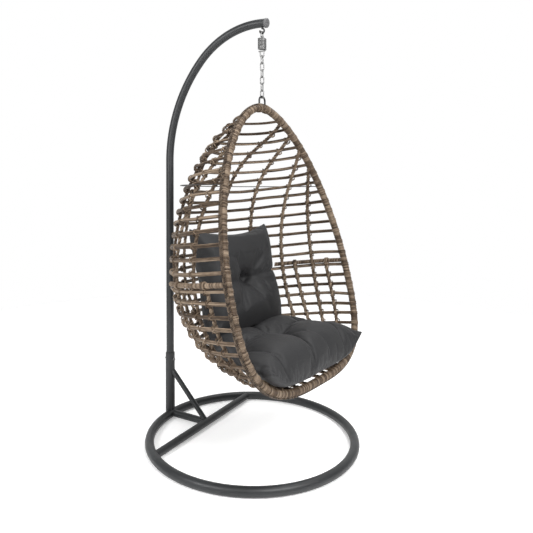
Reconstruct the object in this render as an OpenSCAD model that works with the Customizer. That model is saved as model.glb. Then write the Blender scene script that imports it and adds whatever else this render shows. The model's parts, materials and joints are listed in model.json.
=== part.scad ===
// Hanging egg chair: ring base, bent mast, spring and chain, wicker-look basket, two cushions.
// Millimetres. +Z is up and -Y is the front. The origin is on the floor at the centre of the ring.

/* [Base] */
// Radius of the ring's centreline
ring_radius = 478; // [400:1:560]
// Outside diameter of the ring's tube
ring_tube = 42; // [32:1:50]
// Wall of every stand tube
tube_wall = 2; // [1.2:0.1:3]
// Distance of the crossbar behind the ring's centre
crossbar_back = 261; // [180:1:330]
// Outside diameter of the crossbar
crossbar_tube = 36; // [28:1:40]
// Outside diameter of the spur between post and crossbar
spur_tube = 34; // [26:1:38]

/* [Post and arm] */
// Outside diameter of the mast and arm tube
mast_tube = 39; // [34:1:48]
// Outside diameter of the sleeve round the foot of the mast
sleeve_tube = 48; // [44:1:58]
// Height of the sleeve's top edge
sleeve_top = 335; // [280:1:420]
// Height where the mast starts to bend
bend_start = 1330; // [1200:1:1500]
// Radius of the mast's long bend
bend_radius = 712; // [600:1:800]
// Angle of the long bend
bend_angle = 44; // [36:1:52]
// Outside diameter of the sloping brace
brace_tube = 25; // [18:1:30]
// Height where the brace meets the sleeve
brace_top = 262; // [200:1:290]

/* [Hanger] */
// Distance of the hanging axis in front of the ring's centre
hang_front = 55; // [20:1:90]
// Wire of the arm's hook
hook_wire = 8; // [6:0.5:10]
// Wire of the spring
spring_wire = 6.4; // [5:0.1:7]
// Outside diameter of the spring's coil
spring_coil_size = 41; // [34:1:50]
// Full turns of the coil
spring_turns = 9; // [6:1:12]
// Wire of the chain
link_wire = 5.5; // [4:0.1:6]
// Outside length of a link
link_length = 43; // [38:1:50]
// Outside width of a link
link_width = 22; // [20:0.5:26]
// Turn of the basket about its chain, at rest
basket_turn = -7; // [-40:1:40]

/* [Basket] */
// Height of the basket's rim, from its lowest to its highest centre point
basket_height = 1210; // [1000:1:1300]
// Half width of the rim at its widest
basket_half_width = 472; // [400:1:520]
// Depth of the shell behind the rim at its deepest
basket_depth = 576; // [480:1:600]
// Diameter of the wrapped rim
rim_tube = 35; // [28:1:40]
// Diameter of a hoop
hoop_tube = 13; // [9:0.5:15]
// Diameter of a rib
rib_tube = 13; // [9:0.5:15]
// Diameter of an armrest rail
armrest_tube = 22; // [18:1:26]
// Diameter of the wire of the basket's eye
eye_wire = 8.5; // [6:0.5:10]
// Diameter of the stay wire
stay_wire_size = 4.4; // [3:0.1:6]

/* [Cushions] */
// Half width of the seat cushion
seat_half_width = 332; // [280:1:345]
// Depth of the seat cushion, front to back
seat_depth = 466; // [400:1:480]
// Height of the middle of the seat cushion's top above the rim's lowest point
seat_rise = 160; // [140:1:190]
// Width of the back cushion
back_width = 540; // [440:1:560]
// Height of the back cushion along its slope
back_height = 500; // [420:1:520]
// Thickness of the back cushion
back_thickness = 150; // [100:1:170]

/* [Hidden] */
hoops_above = 15;                       // hoops above the armrests
hoops_below = 8;                        // hoops below the one at the armrests
hoop_count = hoops_above + 1 + hoops_below;
link_count = 6;
// Long ribs: name, place round the shell, start below the rim's top and length of the
// bend away from the rim; the last two are parts of the basket's height
long_ribs = [["rib_left_outer", -0.76, 0.213, 0.157], ["rib_left_side", -0.56, 0.143, 0.153],
             ["rib_left_back", -0.39, 0.085, 0.091], ["rib_left_middle", -0.18, 0.04, 0.07],
             ["rib_right_middle", 0.18, 0.04, 0.07], ["rib_right_back", 0.39, 0.085, 0.091],
             ["rib_right_side", 0.56, 0.143, 0.153], ["rib_right_outer", 0.76, 0.213, 0.157]];
short_ribs = [["short_ribs_left", [-0.87, -0.66]], ["short_ribs_right", [0.66, 0.87]]];

// Stand
ring_r = ring_tube / 2;
mast_r = mast_tube / 2;
sleeve_r = sleeve_tube / 2;
socket_gap = 0.2;                       // between mast and sleeve, on each side
post_back = ring_radius + 14;           // post axis behind the ring's centre
mast_foot = 70;                         // the mast stands this high inside the sleeve
bend_back = post_back - bend_radius;    // centre of the long bend
tip_radius = 432;                       // second, tighter bend of the arm
tip_swell = 0.3;                        // the tighter bend's tube comes out this much thicker
tip_lap = 1;                            // and laps the long bend by this angle
tip_centre = [bend_back, bend_start] + (bend_radius - tip_radius) * [cos(bend_angle), sin(bend_angle)];
arm_overhang = 24;                      // arm beyond the hanging axis
hang_y = -hang_front;
arm_end_y = hang_y - arm_overhang;
tip_end_angle = acos((arm_end_y - tip_centre[0]) / tip_radius);
arm_hang_z = tip_centre[1] + sqrt(pow(tip_radius, 2) - pow(hang_y - tip_centre[0], 2));
bolt_size = 8;
bolt_z = sleeve_top - 32;
bolt_hole_gap = 0.2;
bolt_head = 13;
bolt_head_height = 5.3;
nut_height = 6.5;
drain_hole = 5;
cap_flange = 3;
cap_plug = 9;

// Hanger: every contact leaves this much between two wires
wire_gap = 0.3;
hook_radius = 11;
hook_z = arm_hang_z - mast_r - hook_radius - hook_wire / 2 - 1;
hook_open_from = 20;                    // the hook's gap, from this angle up to its stem
loop_radius = 8.8;
loop_z = hook_z - hook_radius + (hook_wire + spring_wire) / 2 + wire_gap;
top_bar_z = loop_z - 25;
coil_r = (spring_coil_size - spring_wire) / 2;
coil_pitch = spring_wire + 0.1;
bar_gap = 0.1;
coil_top = top_bar_z - spring_wire / 2 - bar_gap;
coil_height = spring_turns * coil_pitch;
coil_bottom = coil_top - coil_height;
low_bar_z = coil_bottom - spring_wire / 2 - wire_gap;
low_hook_drop = 19;
low_hook_z = low_bar_z - low_hook_drop; // centre of the bottom hook's bend
link_r = (link_width - link_wire) / 2;
link_straight = link_length - link_width;
link_pitch = link_length - 2 * link_wire - wire_gap;
link_1_z = low_hook_z - loop_radius + (spring_wire + link_wire) / 2 + wire_gap
           - (link_length - link_wire) / 2;
function link_z(i) = link_1_z - (i - 1) * link_pitch;
eye_radius = 22;
eye_z = link_z(link_count) - (link_length - link_wire) / 2 + (link_wire + eye_wire) / 2 + wire_gap;

// Basket
rim_r = rim_tube / 2;
hoop_r = hoop_tube / 2;
rib_r = rib_tube / 2;
armrest_r = armrest_tube / 2;
eye_leg = 32;                           // from the eye's bend centre to the rim's centre
rim_top = eye_z - eye_radius - eye_leg;
rim_bottom = rim_top - basket_height;
rim_lean = 0.246;                       // the rim comes forward by this much of its drop
rim_widest = rim_bottom + 0.353 * basket_height;
shell_deepest = rim_bottom + 0.37 * basket_height;
upper_power = 1.8;                      // roundness of the rim above and below its widest
lower_power = 3.2;
shell_upper_power = 1.65;               // roundness of the shell above and below its deepest
shell_lower_power = 2.1;
hoop_tilt = 7;                          // hoops drop towards the back
rib_gap = 0.3;
rib_inset = hoop_r + rib_r + rib_gap;   // ribs run inside the hoops
armrest_z = rim_bottom + 0.388 * basket_height;

function unit(v) = v / norm(v);
function curve(t, p) = pow(1 - pow(t, p), 1 / p);

// Half width of the rim, its place front to back, and the shell's depth, all at height z
function half_width(z) = z > rim_widest
    ? basket_half_width * curve((z - rim_widest) / (rim_top - rim_widest), upper_power)
    : basket_half_width * curve((rim_widest - z) / (rim_widest - rim_bottom), lower_power);
function rim_y(z) = hang_y - rim_lean * (rim_top - z);
function depth(z) = z > shell_deepest
    ? basket_depth * curve((z - shell_deepest) / (rim_top - shell_deepest), shell_upper_power)
    : basket_depth * curve((shell_deepest - z) / (shell_deepest - rim_bottom), shell_lower_power);

// The hoop at height z is an arc through both sides of the rim
function slope_depth(z) = depth(z) / cos(hoop_tilt);
function arc_radius(z) = (pow(half_width(z), 2) + pow(slope_depth(z), 2)) / (2 * slope_depth(z));
function arc_angle(z) = acos((arc_radius(z) - slope_depth(z)) / arc_radius(z));

// Point on the shell: u runs from -1 on the left rim to 1 on the right rim
function shell_point(z, u) =
    let (r = arc_radius(z), a = u * arc_angle(z), back = slope_depth(z) - r + r * cos(a))
    [r * sin(a), rim_y(z) + back * cos(hoop_tilt), z - back * sin(hoop_tilt)];
function shell_normal(z, u) =
    let (du = shell_point(z, u + 0.004) - shell_point(z, u - 0.004),
         dz = shell_point(z + 0.4, u) - shell_point(z - 0.4, u))
    unit(cross(dz, du));

// A tube along a row of points, as a closed mesh; normals are one direction per point
function tangent(path, i) = unit(path[min(i + 1, len(path) - 1)] - path[max(i - 1, 0)]);
function ring_points(c, t, ref, r, sides) =
    let (a = unit(ref - (ref * t) * t), b = cross(t, a))
    [for (k = [0:sides - 1]) c + r * (cos(360 * k / sides) * a + sin(360 * k / sides) * b)];
function wall_faces(rings, sides, closed) =
    [for (i = [0:rings - (closed ? 1 : 2)], k = [0:sides - 1])
        let (a = i * sides + k, b = i * sides + (k + 1) % sides,
             d = ((i + 1) % rings) * sides + k, c = ((i + 1) % rings) * sides + (k + 1) % sides)
        each [[a, d, c], [a, c, b]]];
module tube(path, normals, r, sides) {
    rings = len(path);
    points = [for (i = [0:rings - 1]) each ring_points(path[i], tangent(path, i), normals[i], r, sides)];
    start_cap = [for (k = [0:sides - 1]) k];
    end_cap = [for (k = [sides - 1:-1:0]) (rings - 1) * sides + k];
    polyhedron(points, concat(wall_faces(rings, sides, false), [start_cap, end_cap]));
}
module closed_tube(path, tangents, normals, r, sides) {
    rings = len(path);
    points = [for (i = [0:rings - 1]) each ring_points(path[i], tangents[i], normals[i], r, sides)];
    polyhedron(points, wall_faces(rings, sides, true));
}

// Everything under the swivel is turned about the hanging axis
module basket_frame() {
    translate([0, hang_y, 0]) rotate([0, 0, basket_turn]) translate([0, -hang_y, 0]) children();
}

// ---- Stand ----
module ring_solid(r) {
    translate([0, 0, ring_r]) rotate_extrude($fn = 180) translate([ring_radius, 0]) circle(r, $fn = 48);
}
module base_ring() {
    color("dimgray") difference() {
        ring_solid(ring_r);
        ring_solid(ring_r - tube_wall);
        translate([0, -ring_radius, -1]) cylinder(d = drain_hole, h = ring_r, $fn = 24);
    }
}
module lying_tube(from, to, r) {
    along = to - from;
    translate(from) rotate([0, acos(along[2] / norm(along)), atan2(along[1], along[0])])
        cylinder(r = r, h = norm(along), $fn = 48);
}
crossbar_half = sqrt(pow(ring_radius, 2) - pow(crossbar_back, 2));
module crossbar_solid(r) {
    lying_tube([-crossbar_half, crossbar_back, ring_r], [crossbar_half, crossbar_back, ring_r], r);
}
module base_crossbar() {
    color("dimgray") difference() {
        crossbar_solid(crossbar_tube / 2);
        crossbar_solid(crossbar_tube / 2 - tube_wall);
        ring_solid(ring_r);
    }
}
module spur_solid(r) {
    lying_tube([0, crossbar_back, ring_r], [0, ring_radius, ring_r], r);
}
module base_spur() {
    color("dimgray") difference() {
        spur_solid(spur_tube / 2);
        spur_solid(spur_tube / 2 - tube_wall);
        ring_solid(ring_r);
        crossbar_solid(crossbar_tube / 2);
    }
}
module post_solid(r) {
    translate([0, post_back, ring_r]) cylinder(r = r, h = sleeve_top - ring_r, $fn = 64);
}
module bolt_hole(size) {
    translate([0, post_back, bolt_z]) rotate([90, 0, 0])
        cylinder(d = size, h = 4 * sleeve_r, center = true, $fn = 32);
}
module post_sleeve() {
    color("dimgray") difference() {
        post_solid(sleeve_r);
        translate([0, 0, ring_r]) post_solid(mast_r + socket_gap);
        ring_solid(ring_r);
        spur_solid(spur_tube / 2);
        bolt_hole(bolt_size + 2 * bolt_hole_gap);
    }
}
module post_brace() {
    foot = [0, crossbar_back, ring_r];
    head = [0, post_back, brace_top];
    color("dimgray") difference() {
        lying_tube(foot, head, brace_tube / 2);
        lying_tube(foot, head, brace_tube / 2 - tube_wall);
        post_solid(sleeve_r);
        crossbar_solid(crossbar_tube / 2);
        spur_solid(spur_tube / 2);
    }
}
// The mast and arm: a straight length and two bends, in the plane x = 0
module bend(centre, radius, from, to, r) {
    translate([0, centre[0], centre[1]]) rotate([90, 0, 90]) rotate([0, 0, from])
        rotate_extrude(angle = to - from, $fn = 120) translate([radius, 0]) circle(r, $fn = 48);
}
module arm_solid(r, foot, past) {
    translate([0, post_back, foot]) cylinder(r = r, h = bend_start - foot, $fn = 48);
    bend([bend_back, bend_start], bend_radius, 0, bend_angle, r);
    bend(tip_centre, tip_radius, bend_angle - tip_lap, tip_end_angle + past, r + tip_swell);
}
module mast_arm() {
    color("dimgray") difference() {
        arm_solid(mast_r, mast_foot, 0);
        arm_solid(mast_r - tube_wall, mast_foot - 1, 0.2);
        bolt_hole(bolt_size + 2 * bolt_hole_gap);
        translate([0, hang_y, hook_z])
            cylinder(d = hook_wire + 2 * bolt_hole_gap, h = arm_hang_z - hook_z, $fn = 32);
    }
}
module at_arm_end() {
    end = tip_centre + tip_radius * [cos(tip_end_angle), sin(tip_end_angle)];
    translate([0, end[0], end[1]]) rotate([tip_end_angle, 0, 0]) children();
}
module arm_end_cap() {
    color("gray") at_arm_end() {
        translate([0, 0, 0.1]) cylinder(r = mast_r + 1.2, h = cap_flange, $fn = 48);
        translate([0, 0, -cap_plug]) cylinder(r = mast_r - tube_wall - 0.6, h = cap_plug + 1, $fn = 48);
    }
}
module sleeve_bolt() {
    color("silver") translate([0, post_back, bolt_z]) rotate([90, 0, 0]) {
        cylinder(d = bolt_size, h = sleeve_tube + nut_height + 3, center = true, $fn = 32);
        translate([0, 0, -sleeve_r - bolt_head_height])
            cylinder(d = bolt_head, h = bolt_head_height, $fn = 6);
    }
}
module sleeve_nut() {
    color("silver") translate([0, post_back - sleeve_r, bolt_z]) rotate([90, 0, 0]) difference() {
        cylinder(d = bolt_head, h = nut_height, $fn = 6);
        translate([0, 0, -1]) cylinder(d = bolt_size, h = nut_height + 2, $fn = 32);
    }
}
module arm_hook() {
    color("black") {
        bend([hang_y, hook_z], hook_radius, 90, 360 + hook_open_from, hook_wire / 2);
        translate([0, hang_y, hook_z + hook_radius - hook_wire / 4])
            cylinder(d = hook_wire, h = arm_hang_z - hook_z - hook_radius, $fn = 32);
    }
}

// ---- Spring ----
// A half loop in the plane y = 0 with two legs down to a bar
module wire_loop(radius, wire, leg, bar) {
    rotate([90, 0, 0]) rotate_extrude(angle = 180, $fn = 64)
        translate([radius, 0]) circle(d = wire, $fn = 32);
    for (side = [-1, 1])
        translate([side * radius, 0, -leg]) cylinder(d = wire, h = leg, $fn = 32);
    translate([0, 0, -leg]) rotate([0, 90, 0]) cylinder(d = wire, h = 2 * bar, center = true, $fn = 32);
}
module spring_top_loop() {
    color("lightgray") translate([0, hang_y, loop_z - loop_radius])
        wire_loop(loop_radius, spring_wire, loop_z - loop_radius - top_bar_z, coil_r);
}
coil_path_steps = 20;                   // rings of the mesh in each turn
module spring_coil() {
    turns = spring_turns - 1;
    steps = turns * coil_path_steps;
    start_z = coil_top - spring_wire / 2;
    path = [for (i = [0:steps])
        let (a = 360 * i / coil_path_steps)
        [coil_r * cos(a), hang_y + coil_r * sin(a), start_z - i / coil_path_steps * coil_pitch]];
    outward = [for (i = [0:steps]) let (a = 360 * i / coil_path_steps) [cos(a), sin(a), 0]];
    color("lightgray") tube(path, outward, spring_wire / 2, 10);
}
module spring_bottom_hook() {
    color("lightgray") translate([0, hang_y, low_hook_z]) rotate([180, 0, 90])
        wire_loop(loop_radius, spring_wire, low_hook_drop, coil_r);
}

// ---- Chain ----
module link_shape() {
    for (side = [-1, 1]) {
        translate([side * link_r, 0, -link_straight / 2])
            cylinder(d = link_wire, h = link_straight, $fn = 24);
        translate([0, 0, side * link_straight / 2]) rotate([side * 90, 0, 0])
            rotate_extrude(angle = 180, $fn = 48) translate([link_r, 0]) circle(d = link_wire, $fn = 24);
    }
}
module chain_link(i) {
    turn = (i % 2 == 1 ? 0 : 90) + (i == link_count ? basket_turn : 0);
    color("silver") translate([0, hang_y, link_z(i)]) rotate([0, 0, turn]) link_shape();
}

// ---- Basket ----
module basket_eye() {
    color("black") basket_frame() translate([0, hang_y, eye_z - eye_radius]) {
        rotate([90, 0, 0]) rotate_extrude(angle = 180, $fn = 72)
            translate([eye_radius, 0]) circle(d = eye_wire, $fn = 32);
        for (side = [-1, 1])
            translate([side * eye_radius, 0, -eye_leg]) cylinder(d = eye_wire, h = eye_leg, $fn = 32);
    }
}
rim_rings = 120;
rim_sides = 12;
rim_plane_normal = unit([0, -1, rim_lean]);
function rim_reach(a) =
    let (p = cos(a) > 0 ? upper_power : lower_power,
         h = cos(a) > 0 ? rim_top - rim_widest : rim_widest - rim_bottom)
    pow(pow(abs(sin(a)) / basket_half_width, p) + pow(abs(cos(a)) / h, p), -1 / p);
function rim_point(a) =
    let (z = rim_widest + rim_reach(a) * cos(a)) [rim_reach(a) * sin(a), rim_y(z), z];
module basket_rim() {
    angles = [for (i = [0:rim_rings - 1]) 360 * i / rim_rings];
    color("tan") basket_frame()
        closed_tube([for (a = angles) rim_point(a)],
                    [for (a = angles) unit(rim_point(a + 0.2) - rim_point(a - 0.2))],
                    [for (a = angles) rim_plane_normal], rim_r, rim_sides);
}
// An arc at the rim height z, from u1 to u2 round the shell, grown outward
module shell_arc(z, r, outward, u1, u2) {
    reach = arc_radius(z);
    span = arc_angle(z);
    color("tan") basket_frame() translate([0, rim_y(z), z]) rotate([-hoop_tilt, 0, 0])
        translate([0, slope_depth(z) - reach, 0]) rotate([0, 0, 90 - u2 * span])
            rotate_extrude(angle = (u2 - u1) * span, $fn = 180)
                translate([reach + outward, 0]) circle(r, $fn = 24);
}
// Hoop 1 is the top one; the spacing closes up towards the top and the bottom
hoop_0_rise = 0.37;                     // the hoop at the armrests, as a part of the height
armrest_space = 0.0074;                 // more space above that hoop, for the armrests
upper_space = [0.0471, -0.00054];       // spacing above it and its change
lower_space = [0.0409, 0.00029];        // spacing below it and its change
function hoop_rise(n) =
    n > 0 ? armrest_space + upper_space[0] * n + upper_space[1] * n * n
          : lower_space[0] * n + lower_space[1] * n * n;
function hoop_z(i) = rim_bottom + basket_height * (hoop_0_rise + hoop_rise(hoops_above + 1 - i));
module basket_hoop(i) {
    shell_arc(hoop_z(i), hoop_r, 0, -1, 1);
}
rib_steps = 44;
rib_sides = 8;
rib_low_z = rim_bottom + 0.0125 * basket_height;   // from here a rib runs forward to the rim
function lower_rim(x) =
    let (z = rim_widest - (rim_widest - rim_bottom) * curve(abs(x) / basket_half_width, lower_power))
    [x, rim_y(z), z];
function rib_end(p) = let (c = lower_rim(p[0])) c + (rim_r - rib_r / 2) * unit(p - c);
// A rib inside the hoops: zs are its heights at the rim and us its places round the shell
module rib_tube_along(zs, us) {
    last = len(zs) - 1;
    normals = [for (i = [0:last]) shell_normal(zs[i], us[i])];
    path = [for (i = [0:last]) shell_point(zs[i], us[i]) - rib_inset * normals[i]];
    color("tan") basket_frame()
        tube(concat(path, [rib_end(path[last])]), concat(normals, [normals[last]]), rib_r, rib_sides);
}
function heights_down(start, steps) =
    [for (i = [0:steps]) start - (start - rib_low_z) * sin(90 * i / steps)];
module rib(u_end, start, bend_away) {
    zs = heights_down(start, rib_steps);
    us = [for (z = zs) sign(u_end) + (u_end - sign(u_end)) * (1 - exp((z - start) / bend_away))];
    rib_tube_along(zs, us);
}
module short_rib(u) {
    zs = heights_down(armrest_z, rib_steps / 2);
    rib_tube_along(zs, [for (z = zs) u]);
}
armrest_end = 0.53;                     // the rail ends just past the rear side rib
armrest_out = armrest_r + rib_r + rib_gap - rib_inset;
module armrest(side) {
    shell_arc(armrest_z, armrest_r, armrest_out, side > 0 ? armrest_end : -1, side > 0 ? 1 : -armrest_end);
}
stay_z = rim_bottom + 0.7017 * basket_height;
stay_gap = 5;
module stay_wire() {
    reach = arc_radius(stay_z);
    span = arc_angle(stay_z);
    color("black") basket_frame() translate([0, rim_y(stay_z) + slope_depth(stay_z) - reach, stay_z])
        rotate([0, 0, 90 - span]) rotate_extrude(angle = 2 * span, $fn = 180)
            translate([reach + hoop_r + stay_gap, 0]) circle(d = stay_wire_size, $fn = 16);
}

// ---- Cushions ----
// A cushion is a closed solid between two surfaces over a rounded-square outline
cushion_rays = 40;
cushion_steps = [0.3, 0.6, 0.85, 1];
function outline(a, w, d, front_power, back_power) =
    let (p = sin(a) < 0 ? front_power : back_power,
         k = pow(pow(abs(cos(a)), p) + pow(abs(sin(a)), p), -1 / p))
    [w * k * cos(a), d * k * sin(a)];
// Seat: its bottom follows the bowl of the basket, a little above the ribs
seat_w = min(seat_half_width, 0.704 * basket_half_width);
seat_d = min(seat_depth, 0.81 * basket_depth);
seat_top = rim_bottom + seat_rise;
seat_front_y = rim_y(rim_bottom) - 35;
seat_middle_y = seat_front_y + seat_d / 2;
bowl_low = rim_bottom + 18.6;
bowl_low_y = rim_y(rim_bottom) + 0.1215 * basket_depth;
function bowl_z(x, y) =
    let (across = pow(x / basket_half_width, 2), along = pow((y - bowl_low_y) / basket_depth, 2))
    bowl_low + basket_height * (0.171 * along + 0.0435 * across
                                + 0.1475 * pow(across, 2) + 0.245 * across * along);
seat_droop = 24;
function seat_upper(t) = seat_top - seat_droop * pow(t, 3);
module seat_cushion() {
    n = cushion_rays;
    rims = [for (t = cushion_steps) [for (i = [0:n - 1])
        t * outline(360 * i / n, seat_w, seat_d / 2, 4, 2) + [0, seat_middle_y]]];
    tops = [for (s = [0:len(rims) - 1]) for (q = rims[s]) [q[0], q[1], seat_upper(cushion_steps[s])]];
    bottoms = [for (s = [0:len(rims) - 1]) for (q = rims[s]) [q[0], q[1], bowl_z(q[0], q[1])]];
    m = len(tops);
    points = concat(tops, bottoms,
                    [[0, seat_middle_y, seat_top], [0, seat_middle_y, bowl_z(0, seat_middle_y)]]);
    function band(base, s, i, up) =
        let (a = base + s * n + i, b = base + s * n + (i + 1) % n, c = b + n, d = a + n)
        up ? [[a, c, d], [a, b, c]] : [[a, d, c], [a, c, b]];
    outer = (len(rims) - 1) * n;
    faces = concat(
        [for (i = [0:n - 1]) [2 * m, (i + 1) % n, i]],
        [for (i = [0:n - 1]) [2 * m + 1, m + i, m + (i + 1) % n]],
        [for (s = [0:len(rims) - 2], i = [0:n - 1]) each band(0, s, i, true)],
        [for (s = [0:len(rims) - 2], i = [0:n - 1]) each band(m, s, i, false)],
        [for (i = [0:n - 1])
            let (a = outer + i, b = outer + (i + 1) % n, c = b + m, d = a + m) each [[a, b, c], [a, c, d]]]);
    color("darkslategray") basket_frame() polyhedron(points, faces);
}
back_lean = 12;
back_w = min(back_width, 1.144 * basket_half_width);
back_h = min(back_height, 0.413 * basket_height);
back_middle = [0, seat_middle_y + 0.42 * basket_depth, seat_top + 0.48 * back_h];
back_edge = 34;                         // half thickness at the edge
function back_half(t) = back_edge + (back_thickness / 2 - back_edge) * (1 - pow(t, 3));
module back_cushion() {
    n = cushion_rays;
    layers = [for (t = cushion_steps)
        [for (i = [0:n - 1]) t * outline(360 * i / n, back_w / 2, back_h / 2, 3, 3)]];
    fronts = [for (s = [0:len(layers) - 1]) for (q = layers[s]) [q[0], -back_half(cushion_steps[s]), q[1]]];
    backs = [for (s = [0:len(layers) - 1]) for (q = layers[s]) [q[0], back_half(cushion_steps[s]), q[1]]];
    m = len(fronts);
    points = concat(fronts, backs, [[0, -back_thickness / 2, 0], [0, back_thickness / 2, 0]]);
    outer = (len(layers) - 1) * n;
    faces = concat(
        [for (i = [0:n - 1]) [2 * m, (i + 1) % n, i]],
        [for (i = [0:n - 1]) [2 * m + 1, m + i, m + (i + 1) % n]],
        [for (s = [0:len(layers) - 2], i = [0:n - 1])
            let (a = s * n + i, b = s * n + (i + 1) % n, c = b + n, d = a + n) each [[a, c, d], [a, b, c]]],
        [for (s = [0:len(layers) - 2], i = [0:n - 1])
            let (a = m + s * n + i, b = m + s * n + (i + 1) % n, c = b + n, d = a + n)
            each [[a, d, c], [a, c, b]]],
        [for (i = [0:n - 1])
            let (a = outer + i, b = outer + (i + 1) % n, c = b + m, d = a + m) each [[a, b, c], [a, c, d]]]);
    color("darkslategray") basket_frame() translate(back_middle) rotate([-back_lean, 0, 0])
        polyhedron(points, faces);
}

base_ring();
base_crossbar();
base_spur();
post_sleeve();
post_brace();
mast_arm();
sleeve_bolt();
sleeve_nut();
arm_end_cap();
arm_hook();
spring_top_loop();
spring_coil();
spring_bottom_hook();
for (i = [1:link_count])
    chain_link(i);
basket_eye();
basket_rim();
for (i = [1:hoop_count])
    basket_hoop(i);
for (r = long_ribs)
    rib(r[1], rim_top - r[2] * basket_height, r[3] * basket_height);
for (pair = short_ribs)
    for (u = pair[1]) short_rib(u);
armrest(-1);  // armrest_left
armrest(1);  // armrest_right
stay_wire();
seat_cushion();
back_cushion();
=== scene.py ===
import json
import math

import bmesh
import bpy
import numpy as np
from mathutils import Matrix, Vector


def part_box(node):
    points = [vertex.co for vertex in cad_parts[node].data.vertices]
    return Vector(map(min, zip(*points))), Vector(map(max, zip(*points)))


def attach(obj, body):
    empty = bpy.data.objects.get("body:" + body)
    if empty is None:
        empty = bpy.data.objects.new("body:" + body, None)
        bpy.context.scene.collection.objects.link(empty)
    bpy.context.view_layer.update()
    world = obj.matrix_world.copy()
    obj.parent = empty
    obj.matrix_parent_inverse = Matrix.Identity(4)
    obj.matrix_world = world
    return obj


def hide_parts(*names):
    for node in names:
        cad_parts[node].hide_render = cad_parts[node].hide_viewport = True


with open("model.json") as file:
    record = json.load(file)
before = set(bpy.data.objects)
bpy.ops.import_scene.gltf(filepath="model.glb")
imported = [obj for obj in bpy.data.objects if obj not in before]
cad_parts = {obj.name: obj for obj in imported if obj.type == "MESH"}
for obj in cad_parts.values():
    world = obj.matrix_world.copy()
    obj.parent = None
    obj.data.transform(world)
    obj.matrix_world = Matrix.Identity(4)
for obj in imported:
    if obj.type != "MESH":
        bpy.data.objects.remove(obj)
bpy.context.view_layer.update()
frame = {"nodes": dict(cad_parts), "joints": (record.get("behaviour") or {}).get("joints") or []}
rng = np.random.default_rng(7)

# ---------------------------------------------------------------- frame values (metres)
JOINT = {j["name"]: j for j in frame["joints"]}
HANG_Y = JOINT["spring_swing"]["pos_m"][1]
EYE_Z = JOINT["basket_nod"]["pos_m"][2]
TURN = math.atan2(JOINT["basket_nod"]["axis"][1], JOINT["basket_nod"]["axis"][0])
RIM_R, HOOP_R, RIB_R, ARMREST_R = 0.0175, 0.0065, 0.0065, 0.011
HEIGHT, HALF_WIDTH, DEPTH = 1.210, 0.472, 0.576
RIM_TOP = EYE_Z - 0.054
RIM_BOTTOM = RIM_TOP - HEIGHT
LEAN = 0.246
WIDEST = RIM_BOTTOM + 0.353 * HEIGHT
DEEPEST = RIM_BOTTOM + 0.37 * HEIGHT
TOP_POWER, LOW_POWER = 1.8, 3.2
SLOPE_TOP_POWER, SLOPE_LOW_POWER = 1.65, 2.1
HOOP_TILT = math.radians(7)
RIB_INSET = HOOP_R + RIB_R + 0.0003
ARMREST_Z = RIM_BOTTOM + 0.388 * HEIGHT


# ---------------------------------------------------------------- mesh helpers
def unit(v):
    v = np.asarray(v, float)
    return v / np.linalg.norm(v, axis=-1, keepdims=True)


def turned(p):
    """Basket coordinates to the row frame: the basket hangs turned about its chain."""
    p = np.asarray(p, float).copy()
    x, y = p[..., 0].copy(), p[..., 1] - HANG_Y
    p[..., 0] = x * math.cos(TURN) - y * math.sin(TURN)
    p[..., 1] = x * math.sin(TURN) + y * math.cos(TURN) + HANG_Y
    return p


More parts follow.
